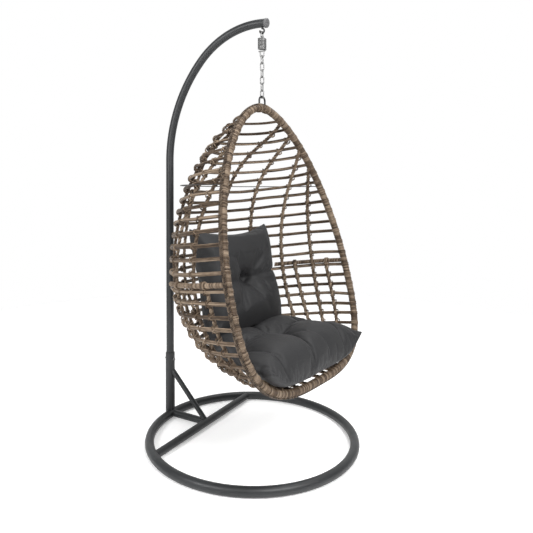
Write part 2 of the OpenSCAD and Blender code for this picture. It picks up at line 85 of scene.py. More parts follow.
class Strands:
    """Collects swept strands into one mesh, with a coordinate that runs along each strand."""

    def __init__(self):
        self.verts, self.faces, self.along, self.tint, self.count = [], [], [], [], 0

    def grid(self, verts, closed_u=False, closed_v=True, shift=0, along=None, tint=0.5, caps=True):
        rings, sides = verts.shape[:2]
        i = np.arange(rings if closed_u else rings - 1)
        k = np.arange(sides if closed_v else sides - 1)
        i, k = np.meshgrid(i, k, indexing="ij")
        k2 = (k + 1) % sides
        drop = np.where(k + 1 >= sides, shift, 0)
        a = (i % rings) * sides + k
        b = ((i - drop) % rings) * sides + k2
        c = ((i + 1 - drop) % rings) * sides + k2
        d = ((i + 1) % rings) * sides + k
        quads = np.stack([a, d, c, b], -1).reshape(-1, 4) + self.count
        self.faces += quads.tolist()
        if caps and not closed_u:
            self.faces.append([self.count + j for j in range(sides)])
            self.faces.append([self.count + (rings - 1) * sides + j for j in range(sides - 1, -1, -1)])
        self.verts.append(verts.reshape(-1, 3))
        self.along.append(along.reshape(-1, 3))
        self.tint.append(np.broadcast_to(np.asarray(tint, float), (rings, sides)).reshape(-1))
        self.count += rings * sides

    def strand(self, path, ref, r, sides=6, closed=False, tint=None, squash=1.0, phase=0.0):
        path = np.asarray(path, float)
        n = len(path)
        if closed:
            t = unit(np.roll(path, -1, 0) - np.roll(path, 1, 0))
        else:
            t = unit(np.gradient(path, axis=0))
        ref = np.broadcast_to(np.asarray(ref, float), path.shape)
        a = unit(ref - (ref * t).sum(-1, keepdims=True) * t)
        b = np.cross(t, a)
        th = np.arange(sides) * 2 * math.pi / sides + phase
        r = np.broadcast_to(np.asarray(r, float), (n,))[:, None, None]
        ca, sa = np.cos(th)[None, :, None] * r * squash, np.sin(th)[None, :, None] * r
        verts = path[:, None] + ca * a[:, None] + sa * b[:, None]
        s = np.concatenate([[0], np.cumsum(np.linalg.norm(np.diff(path, axis=0), axis=1))])
        s = s + rng.uniform(0, 50)
        along = np.concatenate([np.broadcast_to(s[:, None, None], (n, sides, 1)),
                                np.broadcast_to(ca, (n, sides, 1)), np.broadcast_to(sa, (n, sides, 1))], -1)
        if tint is None:
            tint = rng.uniform(0, 1)
        self.grid(verts, closed_u=closed, along=along, tint=tint)

    def build(self, name, material, body, turn=True):
        verts = np.concatenate(self.verts)
        if turn:
            verts = turned(verts)
        me = bpy.data.meshes.new(name)
        me.from_pydata(verts.tolist(), [], self.faces)
        bm = bmesh.new()
        bm.from_mesh(me)
        bmesh.ops.recalc_face_normals(bm, faces=bm.faces)
        bm.to_mesh(me)
        bm.free()
        at = me.attributes.new("along", "FLOAT_VECTOR", "POINT")
        at.data.foreach_set("vector", np.concatenate(self.along).astype(np.float32).ravel())
        at = me.attributes.new("tint", "FLOAT", "POINT")
        at.data.foreach_set("value", np.concatenate(self.tint).astype(np.float32))
        me.shade_smooth()
        return place(bpy.data.objects.new(name, me), material, body)


def place(ob, material, body):
    if ob.name not in bpy.context.scene.collection.objects:
        bpy.context.scene.collection.objects.link(ob)
    ob.data.materials.clear()
    ob.data.materials.append(material)
    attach(ob, body)
    return ob


# ---------------------------------------------------------------- materials
def new_material(name):
    m = bpy.data.materials.new(name)
    m.use_nodes = True
    nt = m.node_tree
    return m, nt, nt.nodes["Principled BSDF"]


def noise(nt, vec, scale, detail=3.0, rough=0.55, distortion=0.0):
    n = nt.nodes.new("ShaderNodeTexNoise")
    n.inputs["Scale"].default_value = scale
    n.inputs["Detail"].default_value = detail
    n.inputs["Roughness"].default_value = rough
    n.inputs["Distortion"].default_value = distortion
    if vec is not None:
        nt.links.new(vec, n.inputs["Vector"])
    return n.outputs["Fac"]


def ramp(nt, fac, stops):
    r = nt.nodes.new("ShaderNodeValToRGB")
    els = r.color_ramp.elements
    while len(els) < len(stops):
        els.new(0.5)
    for e, (pos, col) in zip(els, stops):
        e.position = pos
        e.color = (*col, 1) if len(col) == 3 else col
    nt.links.new(fac, r.inputs["Fac"])
    return r.outputs["Color"]


def math_node(nt, op, a, b):
    n = nt.nodes.new("ShaderNodeMath")
    n.operation = op
    for i, v in enumerate((a, b)):
        if isinstance(v, (int, float)):
            n.inputs[i].default_value = v
        else:
            nt.links.new(v, n.inputs[i])
    return n.outputs[0]


def scaled(nt, vec, scale):
    m = nt.nodes.new("ShaderNodeMapping")
    m.inputs["Scale"].default_value = scale
    nt.links.new(vec, m.inputs["Vector"])
    return m.outputs["Vector"]


def bump(nt, height, strength, distance, target, normal=None):
    b = nt.nodes.new("ShaderNodeBump")
    b.inputs["Strength"].default_value = strength
    b.inputs["Distance"].default_value = distance
    nt.links.new(height, b.inputs["Height"])
    if normal is not None:
        nt.links.new(normal, b.inputs["Normal"])
    if target is not None:
        nt.links.new(b.outputs["Normal"], target.inputs["Normal"])
    return b.outputs["Normal"]


def attribute(nt, name):
    a = nt.nodes.new("ShaderNodeAttribute")
    a.attribute_name = name
    return a


def wicker_material(name, dark, mid, light):
    m, nt, bsdf = new_material(name)
    along = attribute(nt, "along").outputs["Vector"]
    tint = attribute(nt, "tint").outputs["Fac"]
    streak = noise(nt, scaled(nt, along, (9, 420, 420)), 1.0, 4.0, 0.6)
    patch = noise(nt, scaled(nt, along, (26, 60, 60)), 1.0, 2.0)
    fine = noise(nt, scaled(nt, along, (60, 1500, 1500)), 1.0, 2.0)
    mixed = math_node(nt, "ADD", math_node(nt, "MULTIPLY", streak, 0.45),
                      math_node(nt, "MULTIPLY", patch, 0.35))
    mixed = math_node(nt, "ADD", mixed, math_node(nt, "MULTIPLY", tint, 0.36))
    col = ramp(nt, mixed, [(0.30, dark), (0.52, mid), (0.80, light)])
    nt.links.new(col, bsdf.inputs["Base Color"])
    rough = ramp(nt, streak, [(0.3, (0.42,) * 3), (0.8, (0.62,) * 3)])
    nt.links.new(rough, bsdf.inputs["Roughness"])
    bsdf.inputs["Specular IOR Level"].default_value = 0.25
    n1 = bump(nt, streak, 0.5, 0.0006, None)
    bump(nt, fine, 0.35, 0.0002, bsdf, n1)
    return m


def coated_material(name, colour, rough, grain=900, strength=0.12, metallic=0.0, wear=0.15):
    m, nt, bsdf = new_material(name)
    tc = nt.nodes.new("ShaderNodeTexCoord").outputs["Object"]
    big = noise(nt, tc, 6.0, 4.0)
    dark = tuple(c * (1 - wear) for c in colour)
    light = tuple(min(1, c * (1 + wear)) for c in colour)
    nt.links.new(ramp(nt, big, [(0.35, dark), (0.68, light)]), bsdf.inputs["Base Color"])
    r = ramp(nt, noise(nt, tc, 35.0, 3.0), [(0.3, (rough * 0.88,) * 3), (0.7, (min(1, rough * 1.14),) * 3)])
    nt.links.new(r, bsdf.inputs["Roughness"])
    bsdf.inputs["Metallic"].default_value = metallic
    bump(nt, noise(nt, tc, grain, 2.0), strength, 0.0001, bsdf)
    return m


def fabric_material(name, colour):
    m, nt, bsdf = new_material(name)
    tc = nt.nodes.new("ShaderNodeTexCoord").outputs["Object"]
    waves = []
    for axis in ("X", "Z"):
        w = nt.nodes.new("ShaderNodeTexWave")
        w.bands_direction = axis
        w.inputs["Scale"].default_value = 260
        w.inputs["Distortion"].default_value = 1.2
        w.inputs["Detail"].default_value = 1.0
        nt.links.new(tc, w.inputs["Vector"])
        waves.append(w.outputs["Fac"])
    weave = math_node(nt, "MULTIPLY", waves[0], waves[1])
    big = noise(nt, tc, 7.0, 4.0)
    dark, light = tuple(c * 0.82 for c in colour), tuple(c * 1.25 for c in colour)
    nt.links.new(ramp(nt, big, [(0.3, dark), (0.72, light)]), bsdf.inputs["Base Color"])
    bsdf.inputs["Roughness"].default_value = 0.66
    bsdf.inputs["Sheen Weight"].default_value = 0.03
    bsdf.inputs["Sheen Roughness"].default_value = 0.45
    n1 = bump(nt, noise(nt, tc, 45.0, 3.0), 0.25, 0.0012, None)
    bump(nt, weave, 0.28, 0.0004, bsdf, n1)
    return m


WICKER = wicker_material("wicker", (0.010, 0.0065, 0.004), (0.080, 0.053, 0.034), (0.30, 0.228, 0.162))
BRAID = wicker_material("wicker_dark", (0.009, 0.006, 0.004), (0.045, 0.030, 0.020), (0.15, 0.112, 0.080))
POWDER = coated_material("powder_coat", (0.017, 0.0185, 0.020), 0.46, 700, 0.04)
BLACK = coated_material("black_enamel", (0.010, 0.010, 0.011), 0.38)
ZINC = coated_material("zinc", (0.24, 0.24, 0.238), 0.42, 500, 0.05, 0.75)
CAP = coated_material("cap_plastic", (0.11, 0.11, 0.113), 0.6, 1200, 0.06)
STAY = coated_material("stay_enamel", (0.020, 0.017, 0.015), 0.45)
FABRIC = fabric_material("cushion_cloth", (0.0105, 0.0105, 0.0115))


# ---------------------------------------------------------------- shell of the basket
def curve(t, p):
    """Quarter of a superellipse of power p: 1 at t = 0 and 0 at t = 1."""
    return (1 - np.clip(t, 0, 1) ** p) ** (1 / p)


def half_width(z):
    """Half the width of the basket at the height z of its rim."""
    return HALF_WIDTH * np.where(z > WIDEST, curve((z - WIDEST) / (RIM_TOP - WIDEST), TOP_POWER),
                                 curve((WIDEST - z) / (WIDEST - RIM_BOTTOM), LOW_POWER))


def rim_y(z):
    """Place of the leaning rim, front to back, at the height z."""
    return HANG_Y - LEAN * (RIM_TOP - z)


def slope_depth(z):
    """Depth of the hoop that leaves the rim at the height z, along its slope."""
    d = DEPTH * np.where(z > DEEPEST, curve((z - DEEPEST) / (RIM_TOP - DEEPEST), SLOPE_TOP_POWER),
                         curve((DEEPEST - z) / (DEEPEST - RIM_BOTTOM), SLOPE_LOW_POWER))
    return d / math.cos(HOOP_TILT)


def arc(z):
    """Radius and half angle of the hoop at the height z."""
    w, s = half_width(z), slope_depth(z)
    r = (w * w + s * s) / (2 * s)
    return r, np.arccos(np.clip((r - s) / r, -1, 1))


def shell(z, u):
    """Point on the shell: u runs from -1 at the left rim to 1 at the right rim."""
    z, u = np.broadcast_arrays(np.asarray(z, float), np.asarray(u, float))
    r, span = arc(z)
    a = u * span
    back = slope_depth(z) - r + r * np.cos(a)
    y, drop = rim_y(z) + back * math.cos(HOOP_TILT), back * math.sin(HOOP_TILT)
    return np.stack([r * np.sin(a), y, z - drop], -1)


def shell_normal(z, u):
    du = shell(z, u + 0.004) - shell(z, u - 0.004)
    dz = shell(z + 0.0004, u) - shell(z - 0.0004, u)
    return unit(np.cross(dz, du))


HOOPS_ABOVE, HOOPS_BELOW = 15, 8
HOOP_COUNT = HOOPS_ABOVE + 1 + HOOPS_BELOW


def hoop_height(i):
    n = HOOPS_ABOVE + 1 - i
    rise = 0.0074 + 0.0471 * n - 0.00054 * n * n if n > 0 else 0.0409 * n + 0.00029 * n * n
    return RIM_BOTTOM + HEIGHT * (0.37 + rise)


LONG_RIBS = {
    "rib_left_outer": (-0.76, 0.213, 0.157), "rib_left_side": (-0.56, 0.143, 0.153),
    "rib_left_back": (-0.39, 0.085, 0.091), "rib_left_middle": (-0.18, 0.04, 0.07),
    "rib_right_middle": (0.18, 0.04, 0.07), "rib_right_back": (0.39, 0.085, 0.091),
    "rib_right_side": (0.56, 0.143, 0.153), "rib_right_outer": (0.76, 0.213, 0.157),
}
SHORT_RIBS = {"short_ribs_left": (-0.87, -0.66), "short_ribs_right": (0.66, 0.87)}


def lower_rim(x):
    z = WIDEST - (WIDEST - RIM_BOTTOM) * curve(abs(x) / HALF_WIDTH, LOW_POWER)
    return np.array([x, rim_y(z), z])


# ---------------------------------------------------------------- rim
def rim_points(a):
    up = np.cos(a) > 0
    p = np.where(up, TOP_POWER, LOW_POWER)
    h = np.where(up, RIM_TOP - WIDEST, WIDEST - RIM_BOTTOM)
    r = ((np.abs(np.sin(a)) / HALF_WIDTH) ** p + (np.abs(np.cos(a)) / h) ** p) ** (-1 / p)
    z = WIDEST + r * np.cos(a)
    return np.stack([r * np.sin(a), rim_y(z), z], -1)


RIM_NORMAL = unit([0, -1, LEAN])
_dense = rim_points(np.linspace(0, 2 * math.pi, 4001))
_len = np.concatenate([[0], np.cumsum(np.linalg.norm(np.diff(_dense, axis=0), axis=1))])
RIM_LENGTH = _len[-1]


def rim_at(s):
    """Centre point, tangent and outward direction of the rim at the length s."""
    s = np.mod(s, RIM_LENGTH)
    p = np.stack([np.interp(s, _len, _dense[:, k]) for k in range(3)], -1)
    e = 0.004
    before, after = (np.stack([np.interp(np.mod(s + d, RIM_LENGTH), _len, _dense[:, k])
                               for k in range(3)], -1) for d in (-e, e))
    t = unit(after - before)
    out = unit(np.cross(t, np.broadcast_to(RIM_NORMAL, t.shape)))
    sign = np.sign(((p - np.array([0, rim_y(WIDEST), WIDEST])) * out).sum(-1, keepdims=True))
    return p, t, out * sign


def rim_surface(s, theta, r):
    """Point on the rim at radius r; theta 0 faces outward, 90 degrees faces the front."""
    p, _, out = rim_at(s)
    th = np.asarray(theta)[..., None]
    radius = np.asarray(r)[..., None] if np.ndim(r) else r
    return p + radius * (np.cos(th) * out + np.sin(th) * RIM_NORMAL)


WIND_PITCH = 0.0074             # width of one turn of the winding
WIND_GROOVE = 0.0032            # depth of the groove between turns
WIND_SWELL = 0.0030             # rise of a turn between its grooves
BRAID_HALF = math.radians(30)   # half the angle that the braid covers
FLAT = 0.62                     # thickness of a flat strand over its width
WRAP_STRAND_R = 0.0034
WRAP_OFFSETS = (-0.0040, 0.0040)
WINDS = int(round(RIM_LENGTH / WIND_PITCH))
PER_WIND, RIM_SIDES = 6, 28


def build_rim():
    piece = Strands()
    n = WINDS * PER_WIND
    i, k = np.meshgrid(np.arange(n), np.arange(RIM_SIDES), indexing="ij")
    pitch = RIM_LENGTH / WINDS
    s = (i / PER_WIND - k / RIM_SIDES) * pitch
    f = (i % PER_WIND) / PER_WIND
    ridge = 1 - np.abs(2 * f - 1) ** 2.4
    wobble = rng.normal(0, 0.00022, WINDS)[(i // PER_WIND) % WINDS]
    r = RIM_R - WIND_GROOVE + WIND_SWELL * ridge + wobble * ridge
    th = k * 2 * math.pi / RIM_SIDES
    verts = rim_surface(s, th, r)
    along = np.stack([th * RIM_R + 0.37 * (i // PER_WIND), f * pitch, 0 * f + 0.01 * (i // PER_WIND)], -1)
    tint = rng.uniform(0, 1, WINDS)[(i // PER_WIND) % WINDS] * 0.8 + 0.1
    piece.grid(verts, closed_u=True, shift=PER_WIND, along=along, tint=tint, caps=False)
    ob = piece.build("rim_winding", WICKER, "basket")
    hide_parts("basket_rim")

    braid = Strands()
    for j in range(WINDS):
        for side in (-1, 1):
            v = np.linspace(0, 1, 5)
            th = side * BRAID_HALF * (1.06 * v - 0.03)
            ss = (j + 0.5 * (side > 0)) * pitch + 0.0085 * v
            lift = np.array([0.0004, 0.0017, 0.0021, 0.0016, 0.0002])
            path = rim_surface(ss, th, RIM_R + lift - 0.0002)
            _, _, out = rim_at(ss)
            braid.strand(path, out, np.array([0.0016, 0.0027, 0.0029, 0.0027, 0.0014]), 6, squash=FLAT)
    braid.build("rim_braid", BRAID, "basket")


def rim_length_at(z, side):
    """Length along the rim where it passes the height z on one side."""
    a = np.linspace(0.001, math.pi - 0.001, 3000) * side
    p = rim_points(a)
    k = np.argmin(np.abs(p[:, 2] - z))
    return np.interp(np.mod(a[k], 2 * math.pi), np.linspace(0, 2 * math.pi, 4001), _len)


def build_rim_wraps():
    piece = Strands()
    th = np.linspace(0, 2 * math.pi, 29)[:-1]
    for i in range(1, HOOP_COUNT + 1):
        for side in (-1, 1):
            s0 = rim_length_at(hoop_height(i), side) + rng.normal(0, 0.001)
            slant = rng.uniform(-0.004, 0.004)
            tone = rng.uniform(0.25, 0.75)
            for off in WRAP_OFFSETS:
                ss = s0 + off + slant * np.cos(th)
                path = rim_surface(ss, th, RIM_R - 0.0004)
                _, _, out = rim_at(ss)
                ref = np.cos(th)[:, None] * out + np.sin(th)[:, None] * RIM_NORMAL
                piece.strand(path, ref, WRAP_STRAND_R, 6, closed=True, squash=FLAT,
                             tint=tone + rng.uniform(-0.08, 0.08))
    piece.build("rim_wraps", WICKER, "basket")


# ---------------------------------------------------------------- hoops
def wander(n, scale, size):
    """A smooth random walk for the small unevenness of hand weaving."""
    k = max(4, int(n / scale))
    return np.interp(np.linspace(0, 1, n), np.linspace(0, 1, k), rng.normal(0, size, k))


def smooth_row(v, times=2):
    for _ in range(times):
        v = np.convolve(np.pad(v, 1, mode="edge"), (0.25, 0.5, 0.25), "valid")
    return v


# One strand of a hoop: its place across and up the hoop, and its radius
HOOP_STRANDS = ((0.0024, 0.0, 0.0033), (-0.0026, 0.0, 0.0032),
                (0.0004, 0.0049, 0.0031), (0.0004, -0.0049, 0.0031))


def build_hoops():
    for i in range(1, HOOP_COUNT + 1):
        z = hoop_height(i)
        r, span = arc(z)
        n = max(40, int(2 * r * span / 0.009))
        u = np.linspace(-1, 1, n)
        path = shell(z, u)
        nrm = shell_normal(z, np.clip(u, -0.995, 0.995))
        t = unit(np.gradient(path, axis=0))
        up = np.cross(nrm, t)
        up *= np.sign(up[:, 2:3])
        path = path + up * smooth_row(wander(n, 14, 0.0021), 5)[:, None]
        piece = Strands()
        for out, high, rr in HOOP_STRANDS:
            o = out + smooth_row(wander(n, 10, 0.0004))
            h = high + smooth_row(wander(n, 10, 0.0005))
            q = path + nrm * o[:, None] + up * h[:, None]
            piece.strand(q, nrm, rr, 7, squash=0.92)
        ob = piece.build(f"hoop_weave_{i}", WICKER, "basket")
        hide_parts(f"basket_hoop_{i}")


# ---------------------------------------------------------------- ribs
def rib_course(u_end, start, bend, short=False):
    """Heights and places of a rib, densely, and its centreline down to the rim."""
    z0 = ARMREST_Z if short else RIM_TOP - start * HEIGHT
    z1 = RIM_BOTTOM + 0.0125 * HEIGHT
    z = z0 - (z0 - z1) * np.sin(np.linspace(0, math.pi / 2, 500))
    sg = np.sign(u_end)
    u = np.full_like(z, u_end) if short else sg + (u_end - sg) * (1 - np.exp((z - z0) / (bend * HEIGHT)))
    n = shell_normal(z, u)
    p = shell(z, u) - RIB_INSET * n
    c = lower_rim(p[-1][0])
    end = c + (RIM_R - 0.006) * unit(p[-1] - c)
    k = np.linspace(0, 1, 40)[1:, None]
    tail = p[-1] * (1 - k) + end * k - np.array([0, 0, 0.006]) * np.sin(k * math.pi)
    return z, u, np.concatenate([p, tail]), np.concatenate([n, np.repeat(n[-1:], len(tail), 0)])


def resample(p, n, step):
    s = np.concatenate([[0], np.cumsum(np.linalg.norm(np.diff(p, axis=0), axis=1))])
    q = np.linspace(0, s[-1], max(8, int(s[-1] / step)))
    return (q, np.stack([np.interp(q, s, p[:, k]) for k in range(3)], -1),
            unit(np.stack([np.interp(q, s, n[:, k]) for k in range(3)], -1)))


def twisted(piece, p, n, pitch=0.046, r=0.0043, spread=0.0046, count=3, step=0.0040):
    s, p, n = resample(p, n, step)
    t = unit(np.gradient(p, axis=0))
    b = np.cross(t, n)
    phase = rng.uniform(0, 6.28)
    for k in range(count):
        a = phase + k * 2 * math.pi / count + s / pitch * 2 * math.pi
        q = p + 0.7 * spread * np.cos(a)[:, None] * n + 1.15 * spread * np.sin(a)[:, None] * b
        piece.strand(q, n, r, 6)


LASH_MIDDLE, LASH_REACH = -0.0062, 0.0136


def lashing(piece, centre, along, rib_dir, out, w, h, r):
    """One crossed binding: over the hoop on a diagonal, behind the rib, and back."""
    phi = np.linspace(0, 2 * math.pi, 41)[:-1]
    quarter = (phi // (math.pi / 2)).astype(int)
    s = np.where(quarter == 0, -h * np.cos(2 * phi), np.where(quarter == 1, h,
        np.where(quarter == 2, h * np.cos(2 * (phi - math.pi)), -h)))
    t = -w * np.cos(2 * phi)
    n = LASH_MIDDLE + LASH_REACH * np.sin(2 * phi)
    path = centre + t[:, None] * along + s[:, None] * rib_dir + n[:, None] * out
    piece.strand(path, unit(path - (centre - 0.0066 * out)), r, 6, closed=True)


# The two bindings at a crossing: half width, half height and strand radius
LASHINGS = ((0.0102, 0.0100, 0.0019), (0.0108, 0.0136, 0.0018))


def bind_crossings(piece, z, u):
    """Bindings where a rib crosses the hoops."""
    order = np.argsort(z)
    for i in range(1, HOOP_COUNT + 1):
        zi = hoop_height(i)
        if not z.min() + 0.004 < zi < z.max() - 0.004:
            continue
        ui = np.interp(zi, z[order], u[order])
        out = shell_normal(zi, ui)
        c = shell(zi, ui)
        th = unit(shell(zi, ui + 0.004) - shell(zi, ui - 0.004))
        zz = np.array([zi - 0.003, zi + 0.003])
        pr = shell(zz, np.interp(zz, z[order], u[order]))
        rd = unit(pr[1] - pr[0])
        rd = unit(rd - (rd @ th) * th)
        for w, h, r in LASHINGS:
            lashing(piece, c, th, rd, out, w, h * rng.uniform(0.92, 1.1), r)


def build_ribs():
    for name, (u_end, start, bend) in LONG_RIBS.items():
        z, u, p, n = rib_course(u_end, start, bend)
        piece = Strands()
        twisted(piece, p, n)
        bind_crossings(piece, z, u)
        ob = piece.build(name + "_weave", WICKER, "basket")
        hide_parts(name)
    for name, places in SHORT_RIBS.items():
        piece = Strands()
        for place_u in places:
            z, u, p, n = rib_course(place_u, 0, 0, short=True)
            twisted(piece, p, n)
            zi = np.linspace(z.min(), z.max(), 50)
            bind_crossings(piece, zi, np.full_like(zi, place_u))
            # knot round the armrest rail at the top of the rib
            out = shell_normal(ARMREST_Z, place_u)
            c = shell(ARMREST_Z, place_u) + ARMREST_LIFT * out
            t = unit(shell(ARMREST_Z, place_u + 0.004) - shell(ARMREST_Z, place_u - 0.004))
            for off in (-0.006, 0.0, 0.006):
                ang = np.linspace(0, 2 * math.pi, 25)[:-1]
                up = np.cross(out, t)
                ring = c + off * t + 0.0135 * (np.cos(ang)[:, None] * out + np.sin(ang)[:, None] * up)
                piece.strand(ring, unit(ring - c), 0.0034, 6, closed=True)
        ob = piece.build(name + "_weave", WICKER, "basket")
        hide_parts(name)


ARMREST_PITCH = 0.0062          # width of one turn of an armrest's winding
ARMREST_LIFT = 0.0045           # rail's axis outside the shell


def build_armrests():
    for name, side in (("armrest_left", -1), ("armrest_right", 1)):
        u = side * np.linspace(0.53, 1.0, 400)
        n = shell_normal(ARMREST_Z, np.clip(u, -0.995, 0.995))
        p = shell(ARMREST_Z, u) + ARMREST_LIFT * n
        s, p, n = resample(p, n, 0.0011)
        t = unit(np.gradient(p, axis=0))
        b = np.cross(t, n)
        f = np.mod(s / ARMREST_PITCH, 1)
        ridge = 1 - np.abs(2 * f - 1) ** 3
        wind = (s / ARMREST_PITCH).astype(int)
        th = np.linspace(0, 2 * math.pi, 21)[:-1]
        r = (ARMREST_R - 0.0016 + 0.0016 * ridge + rng.normal(0, 0.0002, 999)[wind] * ridge)[:, None, None]
        slide = 0.0022 * np.sin(th)[None, :, None] * t[:, None]
        round_ = np.cos(th)[None, :, None] * n[:, None] + np.sin(th)[None, :, None] * b[:, None]
        verts = p[:, None] + r * round_ + slide
        along = np.stack(np.broadcast_arrays(
            th[None, :] * 0.011 + 0.4 * wind[:, None], (f * 0.006)[:, None],
            0.01 * wind[:, None] + 0 * th[None, :]), -1)
        piece = Strands()
        piece.grid(verts, along=along, tint=rng.uniform(0.1, 0.9, 999)[wind][:, None])
        ob = piece.build(name + "_winding", WICKER, "basket")
        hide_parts(name)


STAY_Z = RIM_BOTTOM + 0.7017 * HEIGHT
STAY_R = 0.0022


def build_stay():
    z = STAY_Z
    r, span = arc(z)
    a = np.linspace(-span, span, 160)
    reach = r + HOOP_R + 0.005
    y = rim_y(z) + slope_depth(z) - r + reach * np.cos(a)
    p = np.stack([reach * np.sin(a), y, np.full_like(a, z)], -1)
    piece = Strands()
    piece.strand(p, (0, 0, 1), STAY_R, 10)
    ob = piece.build("stay_wire_rod", STAY, "basket")
    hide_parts("stay_wire")


build_rim()
build_rim_wraps()
build_hoops()
build_ribs()
build_armrests()
build_stay()

# ---------------------------------------------------------------- cushions
BOWL_LOW_Y = rim_y(RIM_BOTTOM) + 0.1215 * DEPTH


def bowl(x, y):
    across, along = (x / HALF_WIDTH) ** 2, ((y - BOWL_LOW_Y) / DEPTH) ** 2
    return RIM_BOTTOM + 0.0186 + HEIGHT * (0.171 * along + 0.0435 * across + 0.1475 * across ** 2
                                           + 0.245 * across * along)


def valley(x, y, a, b, width, depth):
    """A crease from a to b, fading towards b."""
    a, b = np.array(a), np.array(b)
    d = b - a
    k = np.clip(((x - a[0]) * d[0] + (y - a[1]) * d[1]) / (d @ d), 0, 1)
    dist = np.hypot(x - a[0] - k * d[0], y - a[1] - k * d[1])
    return depth * (1 - 0.55 * k) * np.exp(-(dist / width) ** 2)


def dimple(x, y, c, width, depth):
    return depth * np.exp(-((np.hypot(x - c[0], y - c[1]) / width) ** 1.4))


def pillow_mesh(name, n, top, bottom):
    """A closed mesh of two n by n grids, a top and a bottom surface that meet at the edge."""
    g = np.sin(np.linspace(-math.pi / 2, math.pi / 2, n + 1))
    s, t = np.meshgrid(g, g, indexing="ij")
    upper, lower = top(s, t), bottom(s, t)
    verts = np.concatenate([upper.reshape(-1, 3), lower.reshape(-1, 3)])
    faces = []
    idx = np.arange((n + 1) * (n + 1)).reshape(n + 1, n + 1)
    off = (n + 1) * (n + 1)
    for i in range(n):
        for j in range(n):
            a, b, c, d = idx[i, j], idx[i + 1, j], idx[i + 1, j + 1], idx[i, j + 1]
            faces.append([a, b, c, d])
            faces.append([off + a, off + d, off + c, off + b])
    me = bpy.data.meshes.new(name)
    me.from_pydata(verts.tolist(), [], faces)
    bm = bmesh.new()
    bm.from_mesh(me)
    bmesh.ops.remove_doubles(bm, verts=bm.verts, dist=0.0006)
    bmesh.ops.recalc_face_normals(bm, faces=bm.faces)
    bm.to_mesh(me)
    bm.free()
    ob = bpy.data.objects.new(name, me)
    bpy.context.scene.collection.objects.link(ob)
    return ob


def apply_modifiers(ob):
    deps = bpy.context.evaluated_depsgraph_get()
    me = bpy.data.meshes.new_from_object(ob.evaluated_get(deps))
    ob.modifiers.clear()
    old = ob.data
    ob.data = me
    bpy.data.meshes.remove(old)


def stuff(ob, pins, voxel=0.0062, pressure=4.0, cap=0.022, frames=20):
    """Remeshes the cushion evenly and blows it up as cloth that is held at its tufts and seams."""
    mod = ob.modifiers.new("even", "REMESH")
    mod.mode = "VOXEL"
    mod.voxel_size = voxel
    apply_modifiers(ob)
    me = ob.data
    start = np.empty(len(me.vertices) * 3)
    me.vertices.foreach_get("co", start)
    start = start.reshape(-1, 3)
    weight = pins(start)
    group = ob.vertex_groups.new(name="held")
    for k in np.nonzero(weight > 0.02)[0]:
        group.add([int(k)], float(weight[k]), "REPLACE")
    cloth = ob.modifiers.new("stuffing", "CLOTH")
    c = cloth.settings
    c.quality = 6
    c.mass = 0.25
    c.tension_stiffness = 18
    c.compression_stiffness = 12
    c.shear_stiffness = 8
    c.bending_stiffness = 0.35
    c.use_pressure = True
    c.uniform_pressure_force = pressure
    c.vertex_group_mass = "held"
    c.effector_weights.gravity = 0
    c.shrink_min = -0.035
    cloth.collision_settings.use_collision = False
    cloth.point_cache.frame_start, cloth.point_cache.frame_end = 1, frames
    for f in range(1, frames + 1):
        bpy.context.scene.frame_set(f)
    deps = bpy.context.evaluated_depsgraph_get()
    done = np.empty(len(me.vertices) * 3)
    ev = ob.evaluated_get(deps).data
    ev.vertices.foreach_get("co", done)
    done = done.reshape(-1, 3)
    ob.modifiers.clear()
    bpy.context.scene.frame_set(1)
    move = done - start
    size = np.linalg.norm(move, axis=1, keepdims=True)
    move *= np.minimum(1, cap / np.maximum(size, 1e-9))
    me.vertices.foreach_set("co", (start + move).ravel())
    sub = ob.modifiers.new("fine", "SUBSURF")
    sub.levels = sub.render_levels = 1
    apply_modifiers(ob)
    ob.data.shade_smooth()


SEAT_HALF, SEAT_FRONT, SEAT_BACK = 0.388, -0.382, 0.105
SEAT_TOP = RIM_BOTTOM + 0.184
SEAT_TUFTS = [(-0.02, -0.150), (0.285, -0.125), (-0.295, -0.125)]
SEAT_CREASES = [
    ((-0.02, -0.150), (-0.05, -0.40), 0.017, 0.030), ((0.285, -0.125), (0.215, -0.40), 0.016, 0.028),
    ((-0.295, -0.125), (-0.26, -0.40), 0.016, 0.026), ((-0.02, -0.150), (0.285, -0.125), 0.020, 0.024),
    ((-0.02, -0.150), (-0.295, -0.125), 0.020, 0.022), ((-0.02, -0.150), (0.09, -0.36), 0.012, 0.014),
    ((0.285, -0.125), (0.335, -0.33), 0.012, 0.012), ((-0.02, -0.150), (-0.02, 0.07), 0.018, 0.020),
    ((0.285, -0.125), (0.24, 0.02), 0.016, 0.016), ((-0.295, -0.125), (-0.24, 0.02), 0.016, 0.016),
]


def seat_plan(s, t):
    """Plan of the seat: corners reach out at the front, and the back is narrower."""
    back = np.clip((t + 0.1) / 1.1, 0, 1)
    half = SEAT_HALF * (1 - 0.045 * (1 - t ** 2)) * (1 - 0.26 * back ** 1.6)
    x = s * half
    mid, deep = (SEAT_FRONT + SEAT_BACK) / 2, (SEAT_BACK - SEAT_FRONT) / 2
    y = mid + t * deep * (1 - 0.04 * (1 - s ** 2))
    y = y - 0.05 * np.clip(t, 0, 1) * s ** 2
    return x, y


def seat_floor(x, y):
    """Underside of the seat: the bowl, and at the front down to the rim."""
    rim = WIDEST - (WIDEST - RIM_BOTTOM) * curve(np.abs(x) / HALF_WIDTH, LOW_POWER) + 0.021
    front = np.clip((-0.285 - y) / 0.06, 0, 1)
    front = front * front * (3 - 2 * front)
    b = bowl(x, y)
    return b + (np.minimum(b, rim) - b) * front


